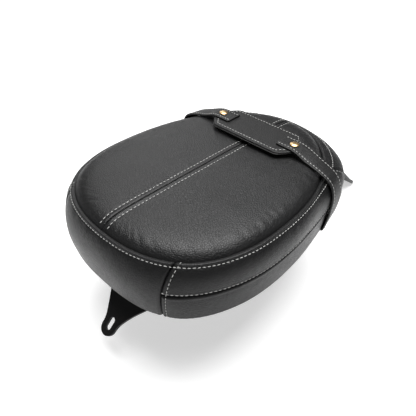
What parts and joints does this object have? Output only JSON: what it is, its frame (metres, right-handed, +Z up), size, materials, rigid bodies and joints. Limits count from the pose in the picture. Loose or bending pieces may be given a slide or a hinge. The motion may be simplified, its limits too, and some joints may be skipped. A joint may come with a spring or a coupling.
{
  "type": "motorcycle passenger seat",
  "caption": "Stitched leather passenger pad with a riveted grab strap, on a moulded pan with two curved steel brackets that follow a rear fender.",
  "frame": {"origin": "middle of the bounding box, on the level of the lowest bracket tip", "axes": "+X to the rider's right, +Y to the front of the motorcycle, +Z up"},
  "size_m": [0.262, 0.5108, 0.2006],
  "materials": {
    "leather": "grained black leather, satin",
    "strap": "smooth black strap leather",
    "foam": "moulded open-cell foam",
    "plastic": "moulded black plastic",
    "black_steel": "black powder coat",
    "zinc": "zinc plated",
    "brass": "aged brass",
    "rubber": "black rubber"
  },
  "bodies": {
    "pad": {"base_pan": "plastic", "foam_core": "foam", "top_padding": "foam", "top_panel_left": "leather", "top_panel_right": "leather", "side_band_left": "leather", "side_band_right": "leather", "side_panel_left": "leather", "side_panel_right": "leather", "rear_skirt": "leather", "front_skirt": "leather", "strap_tail_left": "strap", "strap_tail_right": "strap", "anchor_screws": "zinc", "anchor_washers": "zinc", "rear_bracket": "black_steel", "front_bracket": "black_steel", "bracket_screws": "zinc", "bracket_inserts": "brass", "rubber_bumpers": "rubber", "staples": "zinc"},
    "grab_strap": {"strap_plate": "strap", "strap_backing": "strap", "strap_arm_left": "strap", "strap_arm_right": "strap", "strap_rivets": "brass", "rivet_burrs": "brass"}
  },
  "joints": [
    {"name": "strap_lift", "type": "slide", "parent": "pad", "child": "grab_strap", "axis": [0, 0, 1], "range_m": [0, 0.015]}
  ]
}
